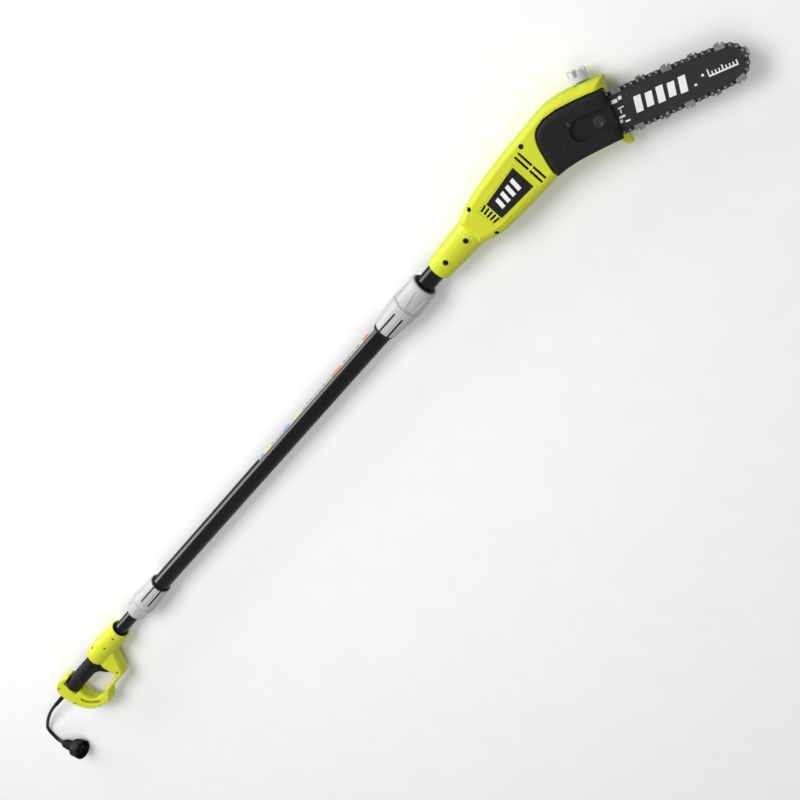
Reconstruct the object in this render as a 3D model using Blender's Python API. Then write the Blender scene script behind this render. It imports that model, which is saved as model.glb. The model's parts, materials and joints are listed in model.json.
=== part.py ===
"""Telescoping electric pole saw, lying on its side on a surface at Z = 0.

The saw is drawn in its own pole frame, in millimetres: +X runs up the pole to the bar, +Y points to
the oil cap's side and +Z to the bar cover's side, with the pole's axis at Y = Z = 0.
One root empty places that frame in the world, in metres.
"""

import math

import bmesh
import bpy
from mathutils import Matrix, Vector

MM = 0.001
GAP = 0.3
WELD = 0.002
FLAT_ANGLE = math.radians(0.4)

# The pole frame's place in the world: half the length and width on each side of the origin.
POLE_AT = Vector((166.196, 47.498, 27.0)) * MM
FLOOR = -27.0

# Tubes: radius outside, radius inside, and the ends along the pole.
LOWER_TUBE = dict(r=13.25, bore=12.0, start=-948.0, end=0.0)
UPPER_TUBE = dict(r=15.5, bore=14.1, start=-560.0, end=262.0)
MID_TUBE = dict(r=17.0, bore=16.0, start=-748.0, end=144.0)
TUBE_SEGMENTS = 20

# Handle: a plate of half thickness PLATE round a D-shaped hand opening, and a round grip bar.
# Each screw is given as (x, y, height of its recess's floor plus 2 mm).
PLATE = 14.0
GRIP_Y = -4.0
GRIP_R = 17.0
GRIP_BAR_R = 13.3
GRIP_START = -1082.0
GRIP_END = -970.0
HANDLE_FRONT = -854.0
HANDLE_BELLY = 27.0
TRIGGER_PIVOT = (-972.0, -10.0)
BUTTON_AT = (-1033.0, -4.0)
HANDLE_SCREWS = [
    (-905, -3, 20.0), (-871, -3, 18.0), (-1103, 13, 11.0),
    (-1105, -33, 11.0), (-946, -56, 11.0), (-936, 17, 14.5),
]

# Head: two shells split at Z = 0, with a bar cover let into the +Z side.
# Each screw is given as (x, y, seat height, radius of its recess).
HEAD_TOP = 29.0
HEAD_WALL = 3.0
DECK_Z = 7.5
DECK_UNDER = 4.8
COVER_TOP = 31.0
NECK_START = 228.0
HEAD_SCREWS = [
    (256, -2, 22.5, 4.8), (307, -3, 24.5, 4.8), (350, 25, 25, 3.7), (351, -30, 21, 3.4), (478, 28, 29, 4.0),
]
ADJUSTER_AT = (549.0, -3.0)
CAP_AXIS = Vector((math.sin(math.radians(28)), math.cos(math.radians(28)), 0))
CAP_BASE = Vector((597.0, 24.5, 0.0))

# Bar: its own axis runs from the stud, along (BAR_ANGLE), in the plane Z = BAR_Z.
STUD = Vector((582.0, -33.0))
BAR_ANGLE = math.radians(-24.5)
BAR_Z = 11.0
BAR_PLATE = 1.3
SPROCKET_S = -44.0
SPROCKET_R = 18.2
NOSE_S = 187.5
NOSE_R = 22.5
RAIL = [(20, 25.5), (60, 26.0), (110, 25.2), (160, 23.6)]
CHAIN_OVER_RAIL = 4.3
DRIVE_LINKS = 32

# Drive: the motor lies along a line that meets the sprocket's shaft at a right angle.
GEAR_TEETH = 24
PINION_TEETH = 8
FACE_TEETH_IN = 16.0
FACE_TEETH_OUT = 22.0
MOTOR_Z = -3.0
MOTOR_TILT = math.atan2(-14.0, 141.0)

# Cord: diameter, and its centre line from the strain relief to the plug, chosen by hand.
CORD_D = 7.0
CORD_ROUTE = [
    (-1168.0, -4.0, 0.0), (-1174.8, -4.1, -0.1), (-1181.5, -4.4, -1.2), (-1188.3, -4.8, -2.5),
    (-1195.0, -5.4, -3.8), (-1201.7, -6.2, -5.2), (-1208.4, -7.2, -6.5), (-1215.1, -8.3, -7.9),
    (-1221.7, -9.6, -9.3), (-1228.3, -11.1, -10.7), (-1234.8, -12.7, -12.1), (-1241.3, -14.5, -13.6),
    (-1247.7, -16.5, -15.1), (-1254.0, -18.7, -16.6), (-1260.3, -21.0, -18.0), (-1266.6, -24.9, -19.6),
    (-1271.9, -30.2, -21.0), (-1275.7, -36.7, -22.6), (-1277.9, -43.8, -23.2), (-1278.4, -51.3, -22.8),
    (-1277.1, -58.7, -21.4), (-1274.1, -65.6, -19.5), (-1269.9, -71.1, -17.6),
]
PLUG_FACE = Vector((-1227.0, -115.0, -3.9))
PLUG_AXIS = Vector((0.682, -0.698, 0.216)).normalized()
PLUG_LENGTH = 62.0
PLUG_R = 21.0


# ---------------------------------------------------------------- helpers


def clear_scene():
    for old in list(bpy.data.objects):
        bpy.data.objects.remove(old, do_unlink=True)


def material(name, colour, roughness, metallic=0.0):
    found = bpy.data.materials.get(name)
    if found:
        return found
    made = bpy.data.materials.new(name)
    made.use_nodes = True
    shader = made.node_tree.nodes["Principled BSDF"]
    shader.inputs["Base Color"].default_value = (*colour, 1)
    shader.inputs["Roughness"].default_value = roughness
    shader.inputs["Metallic"].default_value = metallic
    return made


def empty(name, at=(0, 0, 0), rotation=(0, 0, 0), parent=None):
    made = bpy.data.objects.new(name, None)
    bpy.context.scene.collection.objects.link(made)
    made.parent = parent
    made.location = Vector(at) * MM
    made.rotation_euler = rotation
    return made


def solid(bm):
    """A bmesh in millimetres, with its faces made to point out, as a new mesh."""
    bmesh.ops.recalc_face_normals(bm, faces=bm.faces)
    if bm.calc_volume(signed=True) < 0:
        bmesh.ops.reverse_faces(bm, faces=bm.faces)
    mesh = bpy.data.meshes.new("solid")
    bm.to_mesh(mesh)
    bm.free()
    return mesh


def boolean(first, second, operation):
    """The mesh of first joined with, cut by or shared with second."""
    pair = [bpy.data.objects.new("work", mesh) for mesh in (first, second)]
    for work in pair:
        bpy.context.scene.collection.objects.link(work)
    modifier = pair[0].modifiers.new("Boolean", "BOOLEAN")
    modifier.operation = operation
    modifier.solver = "EXACT"
    modifier.object = pair[1]
    graph = bpy.context.evaluated_depsgraph_get()
    made = bpy.data.meshes.new_from_object(pair[0].evaluated_get(graph))
    for work in pair:
        bpy.data.objects.remove(work, do_unlink=True)
    bm = bmesh.new()
    bm.from_mesh(made)
    bmesh.ops.dissolve_degenerate(bm, dist=WELD, edges=bm.edges)
    bmesh.ops.remove_doubles(bm, verts=bm.verts, dist=WELD)
    bmesh.ops.triangulate(bm, faces=bm.faces)
    bm.to_mesh(made)
    bm.free()
    return made


def cut(mesh, *tools):
    for tool in tools:
        mesh = boolean(mesh, tool, "DIFFERENCE")
    return mesh


def union(mesh, *others):
    for other in others:
        mesh = boolean(mesh, other, "UNION")
    return mesh


def group(*meshes):
    """Separate solids kept in one mesh."""
    bm = bmesh.new()
    for mesh in meshes:
        bm.from_mesh(mesh)
    made = bpy.data.meshes.new("group")
    bm.to_mesh(made)
    bm.free()
    return made


def moved(mesh, matrix):
    mesh.transform(matrix)
    return mesh


def simplify(mesh):
    """Joins flat neighbouring faces, then cuts them into triangles again."""
    bm = bmesh.new()
    bm.from_mesh(mesh)
    bmesh.ops.dissolve_limit(bm, angle_limit=FLAT_ANGLE, verts=bm.verts, edges=bm.edges)
    bmesh.ops.triangulate(bm, faces=bm.faces)
    bm.to_mesh(mesh)
    bm.free()


def node(name, mesh, look, parent, pivot=(0, 0, 0)):
    """Adds a mesh drawn in pole-frame millimetres as one named object with its origin at pivot."""
    mesh.transform(Matrix.Scale(MM, 4) @ Matrix.Translation(-Vector(pivot)))
    simplify(mesh)
    mesh.name = name
    mesh.materials.clear()
    mesh.materials.append(look)
    mesh.shade_smooth()
    mesh.set_sharp_from_angle(angle=math.radians(35))
    made = bpy.data.objects.new(name, mesh)
    bpy.context.scene.collection.objects.link(made)
    made.parent = parent
    made.location = Vector(pivot) * MM - (parent.location if parent is not ROOT else Vector())
    return made


def prism(outline, low, high):
    """An XY outline extruded from Z = low to Z = high."""
    bm = bmesh.new()
    face = bm.faces.new([bm.verts.new((x, y, low)) for x, y in outline])
    raised = bmesh.ops.extrude_face_region(bm, geom=[face])["geom"]
    tops = [v for v in raised if isinstance(v, bmesh.types.BMVert)]
    bmesh.ops.translate(bm, verts=tops, vec=(0, 0, high - low))
    return solid(bm)


def box(low, high):
    return prism([(low[0], low[1]), (high[0], low[1]), (high[0], high[1]), (low[0], high[1])], low[2], high[2])


def inset(outline, amount):
    """An anticlockwise outline moved in by amount along its corners' mean normals."""
    made = []
    count = len(outline)
    for i, (x, y) in enumerate(outline):
        before, after = outline[i - 1], outline[(i + 1) % count]
        a = Vector((x - before[0], y - before[1])).normalized()
        b = Vector((after[0] - x, after[1] - y)).normalized()
        normal = Vector((-(a + b).y, (a + b).x)).normalized()
        reach = amount / max(0.55, normal.dot(Vector((-a.y, a.x))))
        made.append((x + normal.x * reach, y + normal.y * reach))
    return made


def slab(outline, levels):
    """A closed body through the outline at each (z, inset) level, with flat ends."""
    bm = bmesh.new()
    rings = [[bm.verts.new((x, y, z)) for x, y in inset(outline, amount)] for z, amount in levels]
    for low, high in zip(rings, rings[1:]):
        for i in range(len(low)):
            j = (i + 1) % len(low)
            bm.faces.new((low[i], low[j], high[j], high[i]))
    bm.faces.new(list(reversed(rings[0])))
    bm.faces.new(rings[-1])
    return solid(bm)


def turned(profile, segments=TUBE_SEGMENTS, squash=1.0):
    """A closed (x, radius) profile turned about the X axis; squash scales the -Z half."""
    bm = bmesh.new()
    rings = []
    for x, r in profile:
        if r < 1e-6:
            rings.append([bm.verts.new((x, 0, 0))] * segments)
            continue
        ring = []
        for k in range(segments):
            angle = 2 * math.pi * (k + 0.5) / segments
            z = r * math.sin(angle)
            ring.append(bm.verts.new((x, r * math.cos(angle), z * (squash if z < 0 else 1))))
        rings.append(ring)
    for first, second in zip(rings, rings[1:] + rings[:1]):
        for k in range(segments):
            j = (k + 1) % segments
            corners = []
            for v in (first[k], first[j], second[j], second[k]):
                if v not in corners:
                    corners.append(v)
            if len(corners) > 2:
                bm.faces.new(corners)
    return solid(bm)


def along(direction, at=(0, 0, 0)):
    """The transform that turns +X to a direction and moves the origin to a point."""
    return Matrix.Translation(Vector(at)) @ Vector(direction).to_track_quat("X", "Y").to_matrix().to_4x4()


def tube(start, end, r, bore):
    return [(start, bore), (start, r), (end, r), (end, bore)]


def rod(start, end, r):
    return [(start, 0), (start, r), (end, r), (end, 0)]


def upright(mesh_profile, x, y, segments=16):
    """A profile of (z, radius) turned about a line through (x, y) along +Z."""
    return moved(turned(mesh_profile, segments), along((0, 0, 1), (x, y, 0)))


def smooth_curve(points, per_span):
    """Points on a Catmull-Rom curve through the given ones; works for 2D and 3D points."""
    points = [Vector(p) for p in points]
    ends = [2 * points[0] - points[1], *points, 2 * points[-1] - points[-2]]
    made = []
    for a, b, c, d in zip(ends, ends[1:], ends[2:], ends[3:]):
        for k in range(per_span):
            t = k / per_span
            bend = (2 * a - 5 * b + 4 * c - d) * t**2
            twist = (3 * b - a - 3 * c + d) * t**3
            made.append(0.5 * (2 * b + (c - a) * t + bend + twist))
    return [*made, points[-1]]


def stadium(start, end, r, steps=6):
    """An anticlockwise outline round the line from start to end."""
    direction = (Vector(end) - Vector(start)).normalized()
    base = math.atan2(direction.y, direction.x)
    made = []
    for centre, turn in ((end, -90), (start, 90)):
        for k in range(steps + 1):
            angle = base + math.radians(turn + 180 * k / steps)
            made.append((centre[0] + r * math.cos(angle), centre[1] + r * math.sin(angle)))
    return made


def anticlockwise(outline):
    area = sum(a[0] * b[1] - b[0] * a[1] for a, b in zip(outline, outline[1:] + outline[:1]))
    return outline if area > 0 else outline[::-1]


# ---------------------------------------------------------------- outlines


def handle_outline():
    """Rear column, lower bar and strut: a C that the grip bar closes into a D."""
    outside = [
        (-1056, 17), (-1072, 23), (-1096, 24), (-1108, 19.5), (-1115, 11), (-1117, 0),
        (-1116, -12), (-1112, -27), (-1106, -43), (-1097, -57), (-1083, -69), (-1065, -76.5),
        (-1046, -81), (-1031, -84), (-1021, -79.5), (-1011, -72), (-1000, -68.5),
        (-970, -67.8), (-942, -67), (-935, -60), (-924, -42), (-915, -28), (-906, -18),
    ]
    inside = [
        (-940, -8), (-961, -13.5), (-964.4, -27.5), (-957.6, -52), (-963, -58.5),
        (-1008, -59.5), (-1017, -62), (-1026, -65), (-1034, -60.5), (-1054, -59),
        (-1062, -52), (-1066, -40), (-1067, -20), (-1062, 0),
    ]
    return anticlockwise([tuple(p) for p in outside + inside])


def head_outline():
    """Motor housing and bar deck, seen from the cover's side."""
    top = [(318, 24), (336, 31), (356, 35.5), (392, 40), (450, 43.2), (505, 44.6), (538, 44.5), (558, 40)]
    slope = [(574, 34.5), (590, 27), (606, 20.5), (627, 8)]
    front = [(616.5, -6), (585, -73)]
    bottom = [(560, -63.5), (540, -56), (520, -49), (500, -44), (478, -41.8)]
    belly = [(440, -41.2), (395, -39.8), (360, -37), (342, -33), (328, -27.5), (318, -24)]
    upper, lower = ([tuple(p) for p in smooth_curve(points, 2)] for points in (top, belly))
    return anticlockwise(upper + slope + front + bottom + lower)


def cover_outline():
    side = [(481, -41.5), (483.5, -26), (489, -8), (495, 9), (502.5, 21), (513, 28), (530, 29.6)]
    top = [(552, 25), (575, 16), (598, 6), (616, -3.5)]
    front = [(614.5, -11.5), (586.5, -74.5)]
    bottom = [(560, -64), (540, -56.5), (520, -49.5), (500, -44.4)]
    return anticlockwise([tuple(p) for p in smooth_curve(side, 2)] + top + front + bottom)


def bar_point(s, w):
    """A point s along the bar from its stud and w across it, towards the oil cap."""
    axis = Vector((math.cos(BAR_ANGLE), math.sin(BAR_ANGLE)))
    return STUD + axis * s + Vector((-axis.y, axis.x)) * w


DRIVE_AT = tuple(bar_point(SPROCKET_S, 0))


def bar_outline(shrink=0.0):
    """Half widths along the bar, closed by its round nose."""
    upper = [(s, w - shrink) for s, w in [(-25, 12), (-22, 17), (-8, 20.3), *RAIL]]
    upper[0] = (upper[0][0] + shrink, upper[0][1])
    nose = []
    for k in range(13):
        angle = math.radians(82 - 164 * k / 12)
        r = NOSE_R - shrink
        nose.append((NOSE_S + r * math.cos(angle), r * math.sin(angle)))
    lower = [(s, -w) for s, w in reversed(upper)]
    return anticlockwise([tuple(bar_point(s, w)) for s, w in upper + nose + lower])


def chain_path():
    """The line through the chain's rivets: round the bar's rail and the drive sprocket."""
    upper = [(s, w + CHAIN_OVER_RAIL) for s, w in RAIL]
    nose = []
    for k in range(13):
        angle = math.radians(82 - 164 * k / 12)
        r = NOSE_R + CHAIN_OVER_RAIL
        nose.append((NOSE_S + r * math.cos(angle), r * math.sin(angle)))
    lower = [(s, -w) for s, w in reversed(upper)]
    tail = []
    for k in range(9):
        angle = math.radians(260 - 160 * k / 8)
        tail.append((SPROCKET_S + SPROCKET_R * math.cos(angle), SPROCKET_R * math.sin(angle)))
    return [bar_point(s, w) for s, w in upper + nose + lower + tail]


def chain_places(count):
    """Centre and heading of count places spread evenly along the chain's path."""
    path = chain_path()
    closed = path + path[:1]
    lengths = [(b - a).length for a, b in zip(closed, closed[1:])]
    step = sum(lengths) / count
    places = []
    index, used = 0, 0.0
    for k in range(count):
        target = k * step
        while used + lengths[index] < target:
            used += lengths[index]
            index += 1
        a, b = closed[index], closed[index + 1]
        places.append((a + (b - a) * ((target - used) / lengths[index]), (b - a).normalized()))
    return places, step


# ---------------------------------------------------------------- handle


def handle_solids():
    """The two half shells of the handle, cut from one closed shape."""
    levels = [(-PLATE, 3), (-PLATE + 1.5, 1), (-PLATE + 5, 0), (PLATE - 5, 0), (PLATE - 1.5, 1), (PLATE, 3)]
    frame = slab(handle_outline(), levels)
    grip_bar = moved(turned(rod(-1086, -950, GRIP_BAR_R), 20), Matrix.Translation((0, GRIP_Y, 0)))
    squash = HANDLE_BELLY / 24.0
    barrel = [
        (-967.2, 0), (-967.2, 17), (-962, 21.5), (-952, 24), (-905, 24), (-880, 22), (-856, 20.5),
        (HANDLE_FRONT, 19.5), (HANDLE_FRONT, 0),
    ]
    front = turned(barrel, 28, squash)
    pocket = moved(turned(rod(GRIP_START - GAP, -1050, GRIP_R + GAP), 20), Matrix.Translation((0, GRIP_Y, 0)))
    reach = GRIP_R + GAP + 0.1
    open_top = box((GRIP_START - GAP - 0.05, GRIP_Y - reach, 1), (-1049.9, GRIP_Y + reach, 30))
    whole = union(cut(union(frame, front), pocket, open_top), grip_bar)
    wire_way = moved(turned(rod(-1100, -955, 10.5), 16), Matrix.Translation((0, GRIP_Y, 0)))
    socket = turned([(-950, 0), (-950, 13.55), (-866, 13.55), (-866, 17.4), (-850, 17.4), (-850, 0)], 24)
    trigger_way = box((-1005, -45, -5.4), (-962.3, -5.2, 5.4))
    gland = [
        (-1121, 0), (-1121, 5.3), (-1113.4, 5.3), (-1113.4, 7.9), (-1105.7, 7.9), (-1105.7, 4.2),
        (-1095, 4.2), (-1095, 0),
    ]
    gland = moved(turned(gland, 12), Matrix.Translation((0, GRIP_Y, 0)))
    bends = [(-1081, -39), (-1078, -48), (-1068, -58), (-1050, -69)]
    slot = [prism(stadium(a, b, 3.8, 4), -20, 20) for a, b in zip(bends, bends[1:])]
    button_way = upright(rod(0, 30, 6.4), *BUTTON_AT)
    whole = cut(whole, wire_way, socket, trigger_way, gland, *slot, button_way)
    pin_way = upright(rod(-11, 11, 1.8), *TRIGGER_PIVOT, 10)
    wells = group(*[upright(rod(z - 2, 40, 3.0), x, y, 10) for x, y, z in HANDLE_SCREWS])
    whole = cut(whole, pin_way, wells)
    above = box((-1200, -200, 0.15), (-800, 200, 60))
    below = box((-1200, -200, -60), (-800, 200, -0.15))
    return boolean(whole, above, "INTERSECT"), boolean(whole, below, "INTERSECT")


def build_handle(root):
    upper, lower = handle_solids()
    node("handle_shell_upper", upper, LIME, root)
    node("handle_shell_lower", lower, LIME, root)

    r = GRIP_R
    profile = [
        (GRIP_START, GRIP_BAR_R + GAP), (GRIP_START, r - 2.8), (GRIP_START + 1.2, r - 1.5),
        (GRIP_START + 3.5, r - 0.4), (GRIP_START + 7, r), (GRIP_END - 1, r),
        (GRIP_END, r - 1), (GRIP_END, GRIP_BAR_R + GAP),
    ]
    sleeve = moved(turned(profile, 24), Matrix.Translation((0, GRIP_Y, 0)))
    sleeve = cut(sleeve, box((-1006, -60, -5.7), (-960, -8, 5.7)), upright(rod(0, 30, 6.6), *BUTTON_AT))
    node("grip_sleeve", sleeve, RUBBER, root)

    t = LOWER_TUBE
    node("lower_tube", turned(tube(t["start"], t["end"], t["r"], t["bore"])), BLACK, root)
    clamp = turned(tube(-864.5, -857, 17.0, 13.55))
    node("tube_ferrule", clamp, DARK, root)
    node("switch_module", box((-1014, -2.5, -5.6), (-977, 4.3, 5.6)), DARK, root)
    node("trigger_pin", upright(rod(-10.5, 10.5, 1.5), *TRIGGER_PIVOT, 10), STEEL, root)
    trigger_axis = empty("trigger_axis", (*TRIGGER_PIVOT, 0), parent=root)
    outline = smooth_curve([(-1001, -21), (-991, -24.5), (-984, -29.5), (-978.5, -36), (-973, -41)], 2)
    back = [(-969.5, -40), (-967.5, -34), (-967.8, -12), (-972, -6.6), (-978, -7), (-1001, -9)]
    outline = [tuple(p) for p in outline] + back
    lever = prism(anticlockwise(outline), -4.6, 4.6)
    lever = cut(lever, upright(rod(-8, 8, 1.8), *TRIGGER_PIVOT, 10))
    node("trigger", lever, DARK, trigger_axis, (*TRIGGER_PIVOT, 0))
    cap = upright([(9, 0), (9, 5.9), (16.6, 5.9), (17.5, 4.9), (17.8, 0)], *BUTTON_AT, 16)
    node("lock_off_button", cap, DARK, root, (*BUTTON_AT, 9))

    relief = [
        (-1167.6, 0), (-1167.6, 4.1), (-1120, 5.0), (-1113, 5.0), (-1113, 7.5), (-1106, 7.5), (-1106, 0),
    ]
    node("strain_relief", moved(turned(relief, 12), Matrix.Translation((0, GRIP_Y, 0))), RUBBER, root)
    node("cable_lower", turned(rod(-930, -40, 8.0), 10), DARK, root)


# ---------------------------------------------------------------- cord and plug


def build_cord(root):
    line = bpy.data.curves.new("power_cord", "CURVE")
    line.dimensions = "3D"
    line.bevel_depth = CORD_D / 2 * MM
    line.bevel_resolution = 2
    line.use_fill_caps = True
    spline = line.splines.new("POLY")
    spline.points.add(len(CORD_ROUTE) - 1)
    for target, point in zip(spline.points, CORD_ROUTE):
        target.co = (*(Vector(point) * MM), 1)
    line.materials.append(RUBBER)
    cord = bpy.data.objects.new("power_cord", line)
    bpy.context.scene.collection.objects.link(cord)
    cord.parent = root


def build_plug(root):
    """Moulded plug with a shroud round its pins, drawn along +X with the rim at X = 0."""
    n = PLUG_LENGTH
    body = [
        (-n, 0), (-n, 5.6), (-n + 6, 7.2), (-n + 7, 9.5), (-n + 10, 10.2), (-24, 12.6), (-22.5, 19.4),
        (-3, PLUG_R), (0, PLUG_R - 1), (0, PLUG_R - 3.2), (-13, PLUG_R - 4.2), (-13, 0),
    ]
    plug = moved(turned(body, 20), along(PLUG_AXIS, PLUG_FACE))
    node("plug_body", plug, RUBBER, root)
    insert = turned([(-12.7, 0), (-12.7, 13.5), (-9.5, 13.5), (-9.5, 0)], 16)
    blades = [box((-11, y - 0.75, -3.2), (3, y + 0.75, 3.2)) for y in (-6.35, 6.35)]
    earth = moved(turned([(-11, 0), (-11, 2.4), (4, 2.4), (5.5, 1), (5.5, 0)], 10), Matrix.Translation((0, 0, -9.0)))
    pins = union(insert, *blades, earth)
    node("plug_insert", moved(pins, along(PLUG_AXIS, PLUG_FACE)), STEEL, root)


# ---------------------------------------------------------------- middle section


def collar_profile(near, far, seam, shaft_r):
    """Outline of a slotted collar body from its open end to the thread under its nut."""
    side = 1 if far > near else -1
    return [
        (near, MID_TUBE["r"] + GAP), (near, 20.0), (near + side * 40, 25.2), (seam - side * GAP, 26.2),
        (seam - side * GAP, 20.5), (seam + side * 18, 20.5), (seam + side * 18, shaft_r + 1.2),
        (seam + side * 1.5, shaft_r + 1.2), (seam + side * 1.5, MID_TUBE["r"] + GAP),
    ]


def slotted(mesh, start, end):
    """Two lengthwise slots that free a tongue a little to the -Y side of the top."""
    tools = [box((start, y - 1.4, 10), (end, y + 1.4, 40)) for y in (5.0, -11.0)]
    return cut(mesh, *tools)


def build_mid(mid):
    t = MID_TUBE
    node("mid_tube", turned(tube(t["start"] + 0.8, t["end"] - 0.8, t["r"], t["bore"])), BLACK, mid)

    upper = turned(collar_profile(84, 163, 145, UPPER_TUBE["r"]), 20)
    node("upper_collar", slotted(upper, 80, 130), GREY, mid)
    low = [
        (-684, 17.3), (-684, 21.5), (-735, 24.0), (-748.7, 24.4), (-748.7, 19.5), (-766, 19.5),
        (-766, LOWER_TUBE["r"] + 1.2), (-749.6, LOWER_TUBE["r"] + 1.2), (-749.6, 17.3),
    ]
    node("lower_collar", slotted(turned(low, 20), -735, -670), GREY, mid)

    node("upper_seal", turned([(78.5, 17.3), (78.5, 18.3), (83.6, 19.6), (83.6, 17.3)]), DARK, mid)
    node("lower_seal", turned([(-683.6, 17.3), (-683.6, 20.0), (-681.5, 18.4), (-681.5, 17.3)]), DARK, mid)
    node("upper_collet", turned([(163.4, 15.8), (163.4, 20), (178, 17.8), (178, 15.8)]), DARK, mid)
    node("lower_collet", turned([(-766.4, 13.55), (-766.4, 18.6), (-778, 16), (-778, 13.55)]), DARK, mid)

    start, end, low_angle, high_angle, steps = -285.0, 76.0, 50.0, 84.0, 5
    bm = bmesh.new()
    rings = []
    for r in (t["r"] + 0.15, t["r"] + 0.4):
        for x in (start, end):
            angles = [math.radians(low_angle + (high_angle - low_angle) * k / steps) for k in range(steps + 1)]
            rings.append([bm.verts.new((x, r * math.sin(a), r * math.cos(a))) for a in angles])
    inner_a, inner_b, outer_a, outer_b = rings
    for one, two in ((inner_a, inner_b), (outer_b, outer_a), (inner_b, outer_b), (outer_a, inner_a)):
        for k in range(steps):
            bm.faces.new((one[k], one[k + 1], two[k + 1], two[k]))
    for k in (0, -1):
        bm.faces.new((inner_a[k], inner_b[k], outer_b[k], outer_a[k]))
    node("label_strip", solid(bm), PALE, mid)


def build_nuts(mid):
    upper_axis = empty("upper_nut_axis", (169, 0, 0), parent=mid)
    upper = turned([
        (145.3, 20.8), (145.3, 26.0), (150, 26.4), (186, 24.6), (192, 23.8), (193, 22.4), (193, 16.0),
        (181, 16.0), (180.5, 18.4), (164.5, 20.8),
    ], 20)
    node("upper_lock_nut", upper, GREY, upper_axis, (169, 0, 0))
    wiper = turned([(193.3, 15.8), (193.3, 20.0), (194.8, 19.4), (194.8, 15.8)])
    node("upper_wiper", wiper, DARK, upper_axis, (169, 0, 0))
    lower_axis = empty("lower_nut_axis", (-769, 0, 0), parent=mid)
    lower = turned([
        (-749.2, 19.8), (-749.2, 25.0), (-754, 25.2), (-781, 20.6), (-787, 19.4), (-788, 18.2), (-788, 13.8),
        (-780, 13.8), (-779.5, 16.6), (-767.5, 19.8),
    ], 20)
    node("lower_lock_nut", lower, GREY, lower_axis, (-769, 0, 0))


# ---------------------------------------------------------------- head


def head_solids():
    outline = head_outline()
    round_top = [(-0.1, 0), (HEAD_TOP - 16, 0), (HEAD_TOP - 8, 2.2), (HEAD_TOP - 3, 6), (HEAD_TOP, 11)]
    round_low = [(FLOOR, 9), (FLOOR + 3, 4.6), (FLOOR + 8, 1.6), (FLOOR + 15, 0), (0.1, 0)]
    upper = slab(outline, round_top)
    lower = slab(outline, round_low)
    funnel = [
        (NECK_START, 0), (NECK_START, 18), (NECK_START + 2, 20.5), (262, 23), (308, 25), (322, 26), (338, 27.4),
        (356, 28.6), (378, 28.9), (378, 0),
    ]
    neck = turned(funnel, 28, -FLOOR / HEAD_TOP)
    upper = union(upper, neck)
    lower = union(lower, neck)

    hollow = inset(outline, HEAD_WALL)
    roof = slab(hollow, [(-20, 0), (HEAD_TOP - 15, 0), (HEAD_TOP - 8, 3), (HEAD_TOP - HEAD_WALL, 10)])
    floor_space = slab(hollow, [(FLOOR + HEAD_WALL, 8), (FLOOR + 8, 3), (FLOOR + 15, 0), (20, 0)])
    seat = UPPER_TUBE["r"] + GAP
    bore = turned([(200, 0), (200, seat), (264, seat), (264, 13), (360, 20), (360, 0)], 24)
    under_deck = prism(hollow, -10, DECK_UNDER)
    beside_cover = cut(roof, prism(inset(cover_outline(), -4), -60, 60))

    cover_well = prism(inset(cover_outline(), -0.8), DECK_Z, 60)
    upper = cut(upper, beside_cover, under_deck, bore, cover_well)
    lower = cut(lower, floor_space, bore)

    tab = prism([(574, -66), (576.5, -80), (580, -88), (584, -90), (587, -88), (589, -80), (594, -64)], -14, -2)
    lower = union(lower, tab)

    slits = [(460, 24, -1), (468, 24, -1), (460, -6, -29), (468, -6, -29)]
    vents = [prism(stadium((x, y1), (x, y0), 1.7, 4), 10, 60) for x, y0, y1 in slits]
    for k in range(5):
        y = 9.5 - 6.6 * k
        rise = 1.6 - 0.8 * k
        vents.append(prism(stadium((362, y - rise / 2), (372.5, y + rise / 2), 1.5, 4), 10, 60))
    cap_hole = moved(turned(rod(-16, 30, 10.3), 16), along(CAP_AXIS, CAP_BASE))
    wells = [upright([(z - 15, 0), (z - 15, 1.9), (z - 3.0, 1.9), (z - 3.0, r), (60, r), (60, 0)], x, y, 12)
             for x, y, z, r in HEAD_SCREWS]
    shaft_hole = upright(rod(-40, 60, 11.4), *DRIVE_AT, 16)
    stud_hole = upright(rod(-4, 60, 4.3), STUD.x, STUD.y, 12)
    upper = cut(upper, group(*vents), cap_hole, group(*wells), shaft_hole, stud_hole)
    lower = cut(lower, cap_hole)
    above = box((100, -200, 0.15), (800, 200, 80))
    below = box((100, -200, -80), (800, 200, -0.15))
    return boolean(upper, above, "INTERSECT"), boolean(lower, below, "INTERSECT")


def build_head_shells(head):
    upper, lower = head_solids()
    node("head_shell_upper", upper, LIME, head)
    node("head_shell_lower", lower, LIME, head)
    badge = [(376, 10.5), (376, -20.5), (446, -24), (446, 17)]
    node("badge_plate", prism(anticlockwise(badge), HEAD_TOP + GAP, HEAD_TOP + 1.1), DARK, head)
    for k, (x, y, z, _) in enumerate(HEAD_SCREWS[:3]):
        tip = z - (6 if x < UPPER_TUBE["end"] else 14)
        profile = [
            (tip, 0), (tip, 1.6), (z - 2.7, 1.6), (z - 2.7, 3.2), (z - 1.4, 2.9), (z - 0.9, 1.0), (z - 0.9, 0),
        ]
        node(f"head_screw_{k + 1}", upright(profile, x, y, 8), STEEL, head)
    t = UPPER_TUBE
    node("upper_tube", turned(tube(t["start"], t["end"], t["r"], t["bore"])), BLACK, head)
    node("cable_upper", turned(rod(-30, 330, 8.0), 10), DARK, head)


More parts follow.
